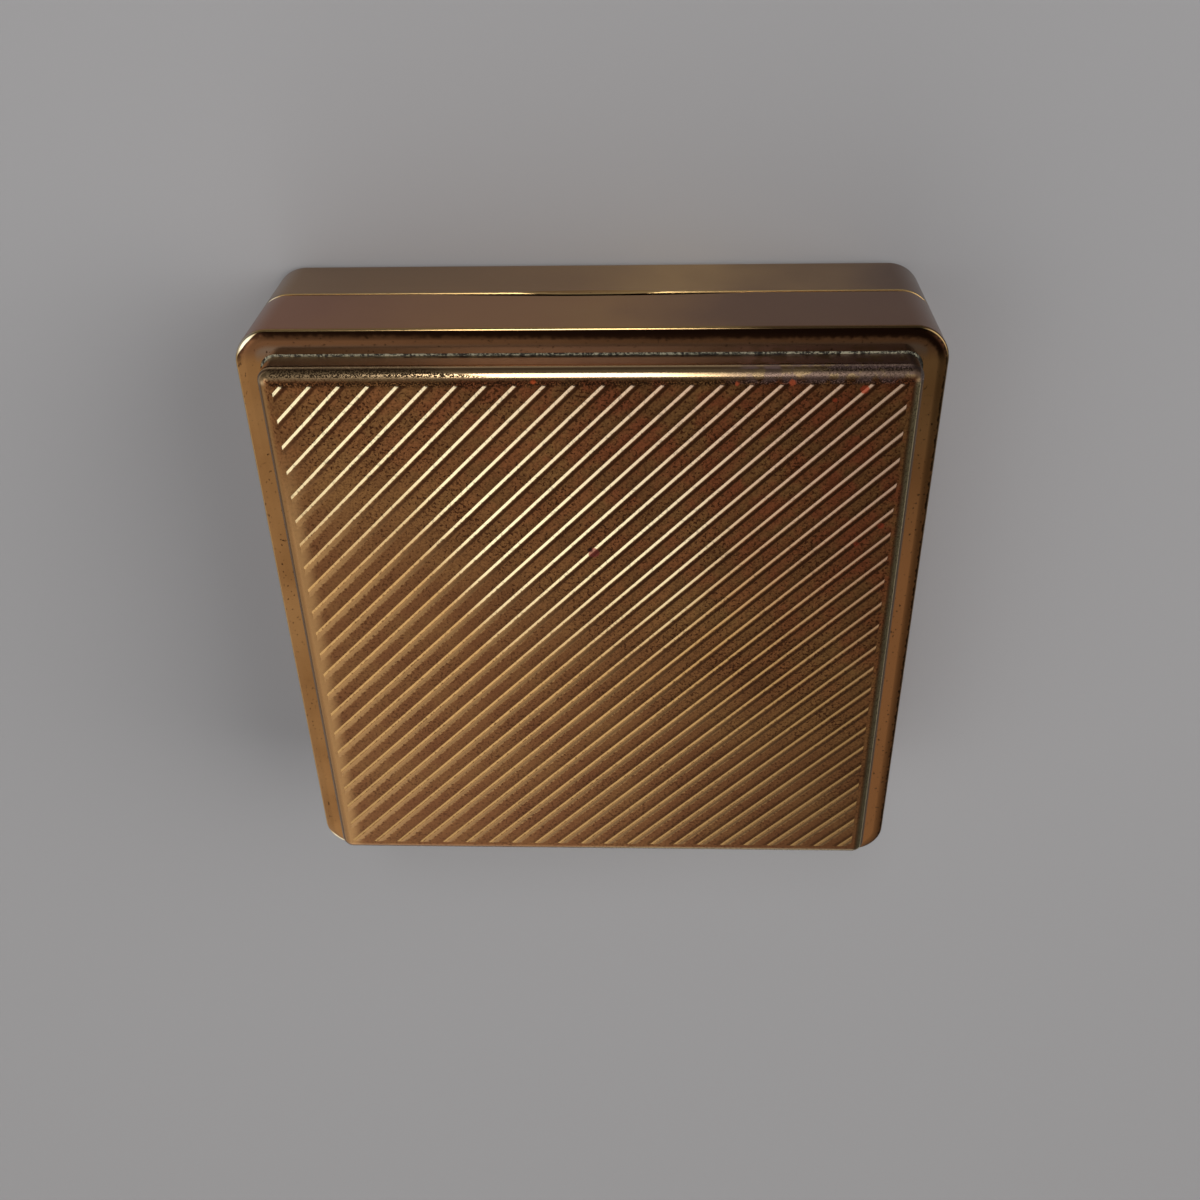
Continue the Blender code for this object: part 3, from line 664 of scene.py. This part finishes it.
def makeMirrorGlass(finish):
    material, tree, shader = startMaterial(finish["name"])
    place = addNode(tree, "TexCoord", {}, "Object")
    haze = addNode(tree, "TexNoise", {"Vector": place, "Scale": 1 / (finish["haze"] * mm), "Detail": 5.0})
    clear, dull = finish["hazeRoughness"]
    haze = addNode(tree, "MapRange", {0: haze, 1: 0.4, 2: 0.8, 3: clear, 4: dull})
    setNode(tree, shader, {"Roughness": haze, **finish["surface"]})
    return material


# Pressed lid panel: a flanged tray, mouth down, with diagonal ribs

panelShape = {
    "raisedHalf": 35.0 * mm,    # from the middle to the side of the raised part
    "cornerRadius": 1.5 * mm,
    "cornerSegments": 10,
    "shoulderRadius": 1.4 * mm,
    "sheet": 0.8 * mm,
    "ribPitch": 3.106 * mm,     # along a side of the box
    "ribOffset": 0.12 * mm,     # the pressing sits this far off the diagonal
    "ribTurn": math.radians(0.24),      # and is turned this much from it
    "ribHeight": 0.13 * mm,
    "ribMargin": 1.7 * mm,      # rib ends back from the raised part's side
    "ribEndRun": 0.08 * mm,     # how far the ends slope back
    "rootDepth": 0.3 * mm,      # below the land, where the ribs are joined to the tray
}
panelLow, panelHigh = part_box("lid_panel")
panelShape["landZ"] = panelHigh.z - panelShape["ribHeight"]

# (distance from the crest, height over the land) across a rib, in mm. Its lee, the positive side, is gentler.
ribProfile = [
    (-0.95, -0.06), (-0.42, -0.05), (-0.335, -0.004), (-0.30, 0.010), (-0.25, 0.032), (-0.20, 0.055),
    (-0.15, 0.078), (-0.11, 0.096), (-0.08, 0.109), (-0.05, 0.121), (-0.02, 0.129), (0.01, 0.13),
    (0.05, 0.127), (0.10, 0.118), (0.16, 0.103), (0.23, 0.082), (0.30, 0.058), (0.38, 0.032), (0.45, 0.012),
    (0.51, -0.004), (0.60, -0.05), (0.95, -0.06),
]


def makePanelTray(shape):
    flangeTop = panelLow.z + shape["sheet"]
    step = panelHigh.x - shape["raisedHalf"]
    tray = addRoundedBlock(panelLow, (panelHigh.x, panelHigh.y, flangeTop), shape["cornerRadius"] + step,
                           shape["cornerSegments"])
    insetFace(tray, facingAt(flangeTop, 1), step)
    push(shape["landZ"] - flangeTop)
    bevelEdges(tray, rimAt(shape["landZ"]), shape["shoulderRadius"], shape["cornerSegments"])
    insetFace(tray, facingAt(panelLow.z, -1), step + shape["sheet"])
    push(shape["landZ"] - shape["sheet"] - panelLow.z)
    return tray


def makeRibs(shape):
    # One pitch is a plane cut into strips, whose edges are moved to the profile
    across = shape["ribPitch"] / math.sqrt(2)
    profile = [(x * mm, z * mm) for x, z in ribProfile]
    profile = [(-across / 2, profile[0][1])] + profile + [(across / 2, profile[-1][1])]
    length = 4 * panelHigh.x
    pickNothing()
    bpy.ops.mesh.primitive_plane_add(size=1, location=(0, 0, 0))
    sheet = bpy.context.object
    sheet.scale = (across, length, 1)
    bpy.ops.object.transform_apply(location=True, rotation=True, scale=True)
    select(sheet, "EDGE", lambda e: near(e.verts[0].co.y, e.verts[1].co.y))
    bpy.ops.mesh.subdivide(number_cuts=len(profile) - 2)
    for i, (x, z) in enumerate(profile):
        start = across * (i / (len(profile) - 1) - 0.5)
        select(sheet, "VERT", lambda v: near(v.co.x, start) and near(v.co.z, 0))
        bpy.ops.transform.translate(value=(x - start, 0, z))
    # The pitches side by side, then a block under them
    count = 2 * math.ceil(shape["raisedHalf"] * 2 / shape["ribPitch"]) + 1
    pick(sheet)
    sheet.location.x = -(count // 2) * across - shape["ribOffset"] / math.sqrt(2)
    bpy.ops.object.transform_apply(location=True)
    applyModifier(sheet, "ARRAY", count=count, use_relative_offset=False, use_constant_offset=True,
                  constant_offset_displace=(across, 0, 0), use_merge_vertices=True,
                  merge_threshold=mergeReach)
    sheet.rotation_euler.z = math.radians(135) + shape["ribTurn"]
    sheet.location.z = shape["landZ"]
    bpy.ops.object.transform_apply(location=True, rotation=True)
    select(sheet, "FACE", everything)
    push(-4 * shape["rootDepth"])       # deeper than the root, where it is then cut off level
    select(sheet, "FACE", everything)
    bpy.ops.mesh.normals_make_consistent(inside=False)
    cuts = [((0, 0, shape["landZ"] - shape["rootDepth"]), (0, 0, -1))]
    limit = shape["raisedHalf"] - shape["ribMargin"]
    for side in ((1, 0), (-1, 0), (0, 1), (0, -1)):
        slope = Vector((side[0] * shape["ribHeight"], side[1] * shape["ribHeight"], shape["ribEndRun"]))
        cuts.append(((side[0] * limit, side[1] * limit, shape["landZ"]), slope.normalized()))
    for point, normal in cuts:
        cutAway(sheet, point, normal)
    return sheet


panelBrass = makePanelBrass(panelShape)
lidPanel = makePanelTray(panelShape)
cutWith(lidPanel, makeRibs(panelShape), "UNION")
finishPiece(lidPanel, "pressedLidPanel", "lid", ["lid_panel"], panelBrass, 12)
print("panel", len(lidPanel.data.polygons), "faces")


# Lid shell: walls, a crowned rim and the fingernail scoop

lidShape = {
    "cornerRadius": 4.0 * mm,
    "wall": 1.0 * mm,
    "rimCrown": 0.25 * mm,      # fall of the rim towards the walls
    "rimSlope": 0.9 * mm,       # width of the falling part
    "creaseShare": 0.4,         # of that width, the soft bend where it starts
    "rimEdge": 0.28 * mm,       # tight bend from the rim into the wall
    "opening": 35.3 * mm,       # from the middle to the edge round the panel
    "openingCorner": 1.8 * mm,
    "partingChamfer": 0.2 * mm,
    "scoopLength": 40 * mm,
    "scoopDepth": 0.9 * mm,
    "scoopSlope": 0.6,          # depth into the wall for each unit of height
    "openingAngle": math.radians(105),
    "hingeLength": 46.6 * mm,
    "grooveRadius": 1.175 * mm,     # of the room for the hinge's barrel
    "rearGap": 0.15 * mm,       # from the hinge's axis up or down to each half's rear edge
    "cornerSegments": 20,
}
caseLow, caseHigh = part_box("lid_shell")
shellBrass = makeShellBrass({
    "half": caseHigh.x,
    "cornerRadius": lidShape["cornerRadius"],
    "rimZ": caseHigh.z,
    "partingZ": (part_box("base_shell")[1].z + caseLow.z) / 2,
})
hinge = [joint for joint in frame["joints"] if joint["name"] == "lid_hinge"][0]
hingeAxis = Vector(hinge["pos_m"])


def addScoopCutter(frontY, edgeZ, up, length, depth, slope):
    # A slice of a wide cone: its rim cuts an arc as long as the scoop, shallower further into the wall
    radius = ((length / 2) ** 2 + depth ** 2) / (2 * depth)
    reach = 2 * mm
    pickNothing()
    bpy.ops.mesh.primitive_cone_add(
        vertices=1440, radius1=radius - reach / slope, radius2=radius + reach / slope, depth=2 * reach,
        location=(0, frontY, edgeZ + up * (depth - radius)), rotation=(math.radians(90), 0, 0))
    cutter = bpy.context.object
    bpy.ops.object.transform_apply(location=True, rotation=True)
    return cutter


def trimForHinge(obj, up, shape):
    # The rear edge is sloped by half the lid's opening, and a groove is cut for the barrel
    slope = shape["openingAngle"] / 2
    edge = hingeAxis.z + up * shape["rearGap"]
    cutAway(obj, (0, hingeAxis.y, edge), (0, math.sin(slope), -up * math.cos(slope)))
    pickNothing()
    bpy.ops.mesh.primitive_cylinder_add(vertices=48, radius=shape["grooveRadius"], depth=shape["hingeLength"],
                                        location=hingeAxis, rotation=(0, math.radians(90), 0))
    groove = bpy.context.object
    bpy.ops.object.transform_apply(location=True, rotation=True)
    cutWith(obj, groove)


def makeLidShell(shape):
    low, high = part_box("lid_shell")
    flatEdge = high.z - shape["rimCrown"]
    shell = addRoundedBlock(low, (high.x, high.y, flatEdge), shape["cornerRadius"], shape["cornerSegments"])
    insetFace(shell, facingAt(flatEdge, 1), shape["rimSlope"])
    bpy.ops.transform.translate(value=(0, 0, shape["rimCrown"]))
    bevelEdges(shell, levelAt(high.z), shape["creaseShare"] * shape["rimSlope"], 6)
    bevelEdges(shell, rimAt(flatEdge), shape["rimEdge"], 5)
    insetFace(shell, facingAt(low.z, -1), shape["wall"])
    push(high.z - shape["wall"] - low.z)
    bevelEdges(shell, outerRimAt(low.z, high.x, shape["wall"]), shape["partingChamfer"], 2)
    opening = shape["opening"]
    hole = addRoundedBlock((-opening, -opening, low.z), (opening, opening, high.z + mm),
                           shape["openingCorner"], 12)
    cutWith(shell, hole)
    trimForHinge(shell, 1, shape)
    cutWith(shell, addScoopCutter(low.y, low.z, 1, shape["scoopLength"], shape["scoopDepth"],
                                  shape["scoopSlope"]))
    return shell


def outerRimAt(z, half, wall):
    # A test for the outer one of the two loops at height z, by the middle of the wall's thickness
    radius = lidShape["cornerRadius"]

    def test(edge):
        middle = (edge.verts[0].co + edge.verts[1].co) / 2
        dx, dy = (max(abs(way) - (half - radius), 0) for way in (middle.x, middle.y))
        return levelAt(z)(edge) and math.hypot(dx, dy) > radius - wall / 2
    return test


lidShell = makeLidShell(lidShape)
finishPiece(lidShell, "drawnLidShell", "lid", ["lid_shell"], shellBrass)
print("lid shell", len(lidShell.data.polygons), "faces")


# Verdigris and old polish caked in the crevice round the panel

crevice = {
    "inner": 34.97 * mm,
    "outer": 35.33 * mm,
    "cornerRadius": 1.83 * mm,
    "below": 0.40 * mm,         # its foot, under the rim's surface
    "above": -0.06 * mm,        # its top, from there
    "lump": 0.5 * mm,
    "lumpHeight": 0.16 * mm,
    "cuts": 200,                # along each long edge, so that it can be lumpy
    "crumb": 0.25 * mm,
    "black": "#17130e",
    "green": "#a5a28c",
    "roughness": 0.85,
}


def makeCrust(shape):
    # Copper carbonate with wax and dust: matt, crumbly, pale green on black
    material, tree, shader = startMaterial("verdigris and dried polish")
    place = addNode(tree, "TexCoord", {}, "Object")
    crumbs = addNode(tree, "TexNoise", {"Vector": place, "Scale": 1 / shape["crumb"], "Detail": 5.0,
                                        "Roughness": 0.7})
    crumbs = addNode(tree, "MapRange", {**smooth, 0: crumbs, 1: 0.46, 2: 0.58})
    # Only wax and dirt at the side at -X
    x = addNode(tree, "SeparateXYZ", {0: place})
    green = addNode(tree, "MapRange", {**smooth, 0: x, 1: -34.9 * mm, 2: -34.4 * mm, 3: 0.08})
    crumbs = addNode(tree, "Math", {**times, 0: crumbs, 1: green})
    colour = addNode(tree, "Mix", {**layer, 0: crumbs, 6: shape["black"], 7: shape["green"]}, 2)
    setNode(tree, shader, {"Base Color": colour, "Roughness": shape["roughness"]})
    return material


def makeCreviceBead(shape):
    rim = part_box("lid_shell")[1].z
    low = Vector((-shape["outer"], -shape["outer"], rim - shape["below"]))
    high = Vector((shape["outer"], shape["outer"], rim + shape["above"]))
    bead = addRoundedBlock(low, high, shape["cornerRadius"], 8)
    insetFace(bead, lambda f: abs(f.normal.z) > 0.99, shape["outer"] - shape["inner"])
    bpy.ops.mesh.bridge_edge_loops()
    select(bead, "EDGE", lambda e: e.calc_length() > 10 * mm)
    bpy.ops.mesh.subdivide(number_cuts=shape["cuts"])
    select(bead, "FACE", everything)
    bpy.ops.mesh.normals_make_consistent(inside=False)
    pick(bead)
    lumps = bpy.data.textures.new("creviceLumps", "CLOUDS")
    lumps.noise_scale = shape["lump"]
    applyModifier(bead, "DISPLACE", texture=lumps, strength=shape["lumpHeight"], mid_level=0.5)
    return bead


finishPiece(makeCreviceBead(crevice), "creviceCrust", "lid", [], makeCrust(crevice), 80)
print("crevice crust")


# Base shell

baseShape = {
    "undersideRadius": 0.9 * mm,
    "scoopLength": 20 * mm,
    "scoopDepth": 0.5 * mm,
}


def makeBaseShell(shape):
    low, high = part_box("base_shell")
    shell = addRoundedBlock(low, high, lidShape["cornerRadius"], lidShape["cornerSegments"])
    bevelEdges(shell, rimAt(low.z), shape["undersideRadius"], 8)
    insetFace(shell, facingAt(high.z, 1), lidShape["wall"])
    push(low.z + lidShape["wall"] - high.z)
    bevelEdges(shell, outerRimAt(high.z, high.x, lidShape["wall"]), lidShape["partingChamfer"], 2)
    trimForHinge(shell, -1, lidShape)
    cutWith(shell, addScoopCutter(low.y, high.z, -1, shape["scoopLength"], shape["scoopDepth"],
                                  lidShape["scoopSlope"]))
    return shell


baseShell = makeBaseShell(baseShape)
finishPiece(baseShell, "drawnBaseShell", "base", ["base_shell"], shellBrass)
print("base shell", len(baseShell.data.polygons), "faces")


# Carried-over pieces, shaded smooth

innerBrass, hingeBrass, card, velvet = (
    makeInsideFinish(finish) for finish in (innerFinish, hingeFinish, cardFinish, velvetFinish))
mirrorGlass = makeMirrorGlass(mirrorFinish)
copies = [
    ("base_sleeve", "innerSleeve", "base", "inner_brass", innerBrass),
    ("base_hinge_leaf", "lowerHingeLeaf", "base", "hinge_brass", hingeBrass),
    ("hinge_pin", "hingePin", "base", "hinge_brass", hingeBrass),
    ("floor_card", "floorCard", "base", "card", card),
    ("lid_hinge_leaf", "upperHingeLeaf", "lid", "hinge_brass", hingeBrass),
    ("mirror_card", "mirrorCard", "lid", "card", card),
    ("mirror_glass", "mirrorGlass", "lid", "mirror", mirrorGlass),
    ("mirror_bezel", "mirrorBezel", "lid", "inner_brass", innerBrass),
]
for node, name, body, slotName, material in copies:
    finishPiece(polishedCopy(node), name, body, [node], material)
print("carried-over pieces")


# Velvet linings, dividers and pads

stripShape = {
    "edgeRadius": 0.3 * mm,
    "segments": 4,
}
for node in ("front_lining", "rear_lining", "left_lining", "right_lining", "long_divider", "short_divider"):
    strip = addBlock(*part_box(node))
    bevelEdges(strip, everything, stripShape["edgeRadius"], stripShape["segments"])
    finishPiece(strip, node.replace("_", ".") + ".velvet", "base", [node], velvet)

padShape = {
    "clearance": 0.05 * mm,     # inside the sides of its CAD box, before it swells
    "thickness": 1.7 * mm,      # before it swells
    "edgeRadius": 0.7 * mm,
    "voxel": 0.6 * mm,
    "enlargement": 10,          # the cloth is solved at ten times its size
    "pressure": 4.0,
    "frames": 20,
    "cap": 0.7 * mm,            # how far the wadding may push a point
    "fill": 0.7,
}


def makePad(node, shape):
    # Wadding under velvet: a flat cushion blown up by the cloth solver, its bottom held to the floor card
    low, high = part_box(node)
    k = shape["enlargement"]
    gap = shape["clearance"]
    pad = addBlock((low + Vector((gap, gap, 0))) * k,
                   Vector((high.x - gap, high.y - gap, low.z + shape["thickness"])) * k)
    bevelEdges(pad, lambda e: max(v.co.z for v in e.verts) > low.z * k + mm, shape["edgeRadius"] * k, 4)
    applyModifier(pad, "REMESH", mode="VOXEL", voxel_size=shape["voxel"] * k)
    start = [v.co.copy() for v in pad.data.vertices]
    held = pad.vertex_groups.new(name="held")
    held.add([i for i, co in enumerate(start) if co.z < low.z * k + shape["voxel"] * k], 1.0, "REPLACE")
    cloth = pad.modifiers.new("Cloth", "CLOTH")
    cloth.settings.vertex_group_mass = held.name
    cloth.settings.use_pressure = True
    cloth.settings.uniform_pressure_force = shape["pressure"]
    cloth.settings.effector_weights.gravity = 0
    cloth.point_cache.frame_end = shape["frames"]
    for frameNumber in range(1, shape["frames"] + 1):
        bpy.context.scene.frame_set(frameNumber)
    pick(pad)
    bpy.ops.object.modifier_apply(modifier=cloth.name)
    bpy.context.scene.frame_set(1)
    for vertex, before in zip(pad.data.vertices, start):
        swelling = vertex.co - before
        if swelling.length > shape["cap"] * k:
            vertex.co = before + swelling.normalized() * shape["cap"] * k
        vertex.co.x = min(max(vertex.co.x, low.x * k), high.x * k)
        vertex.co.y = min(max(vertex.co.y, low.y * k), high.y * k)
        vertex.co.z = max(vertex.co.z, low.z * k)
    pad.scale = (1 / k, 1 / k, 1 / k)
    bpy.ops.object.transform_apply(location=True, rotation=True, scale=True)
    applyModifier(pad, "SUBSURF", levels=1, render_levels=1)
    return pad


for node in ("rear_pad", "left_pad", "right_pad"):
    pad = makePad(node, padShape)
    finishPiece(pad, node.replace("_", ".") + ".velvet", "base", [node], velvet, 60)
print("velvet")


# Floor, light and camera

floorShape = {
    "size": 4,
    "drop": 0.02 * mm,      # below the box's underside
    "surface": {"Base Color": "#a0a1a6", "Roughness": 0.9, "Specular IOR Level": 0.2},
}


def makeFloor(shape):
    pickNothing()
    bpy.ops.mesh.primitive_plane_add(size=shape["size"], location=(0, 0, -shape["drop"]))
    floor = bpy.context.object
    floor.name = "studioFloor"
    material, tree, shader = startMaterial("plain matt paper")
    setNode(tree, shader, shape["surface"])
    floor.data.materials.append(material)


def addSoftbox(name, direction, distance, size, power):
    direction = Vector(direction).normalized()
    pickNothing()
    bpy.ops.object.light_add(type="AREA", location=direction * distance)
    lamp = bpy.context.object
    lamp.name = name
    lamp.data.shape = "RECTANGLE"
    lamp.data.size, lamp.data.size_y = size
    lamp.data.energy = power
    lamp.rotation_euler = direction.to_track_quat("Z", "Y").to_euler()
    lamp.visible_camera = False


def lightWorld(lobes, ambient):
    # A dark room with soft bright regions: (direction, full within degrees, gone beyond degrees, radiance)
    world = bpy.data.worlds.new("studio")
    bpy.context.scene.world = world
    world.use_nodes = True
    tree = world.node_tree
    direction = addNode(tree, "TexCoord", {}, "Generated")
    total = None
    for axis, inner, outer, radiance in lobes:
        dot = addNode(tree, "VectorMath", {"operation": "DOT_PRODUCT", 0: direction,
                                           1: Vector(axis).normalized()}, "Value")
        lobe = addNode(tree, "MapRange", {**smooth, 0: dot, 1: math.cos(math.radians(outer)),
                                          2: math.cos(math.radians(inner)), 4: radiance})
        total = lobe if total is None else addNode(tree, "Math", {**plus, 0: total, 1: lobe})
    strength = addNode(tree, "Math", {**plus, 0: total, 1: ambient})
    setNode(tree, tree.nodes["Background"], {"Strength": strength, "Color": "#fffaf2"})


makeFloor(floorShape)
addSoftbox("frontSoftbox", (0.067, -0.64, 0.77), 0.8, (0.16, 0.44), 1.6)
lightWorld([
    ((0.60, 0.62, 0.50), 24, 48, 0.60),
    ((0.60, 0.62, 0.50), 48, 70, 0.17),
    ((0.62, -0.06, 0.78), 5, 22, 1.15),
    ((0.08, 0.83, 0.55), 5, 20, 0.45),
    ((-0.05, 0.58, 0.81), 4, 14, 0.12),
    ((0.05, 0.98, 0.12), 8, 22, 0.55),
    ((-0.85, -0.25, 0.45), 8, 38, 3.5),
], 0.12)

cameraPlace = {
    "location": (-6.97 * mm, -89.59 * mm, 144.99 * mm),
    "rotation": (-34.481, 2.065, 178.771),
    "lens": 38.10,
    "sensor": 36.0,
}
pickNothing()
bpy.ops.object.camera_add(location=cameraPlace["location"],
                          rotation=[math.radians(a) for a in cameraPlace["rotation"]])
camera = bpy.context.object
camera.data.lens = cameraPlace["lens"]
camera.data.sensor_width = cameraPlace["sensor"]
camera.data.clip_start = 1 * mm
bpy.context.scene.camera = camera
bpy.context.scene.view_settings.view_transform = "Standard"
print("stage and camera")
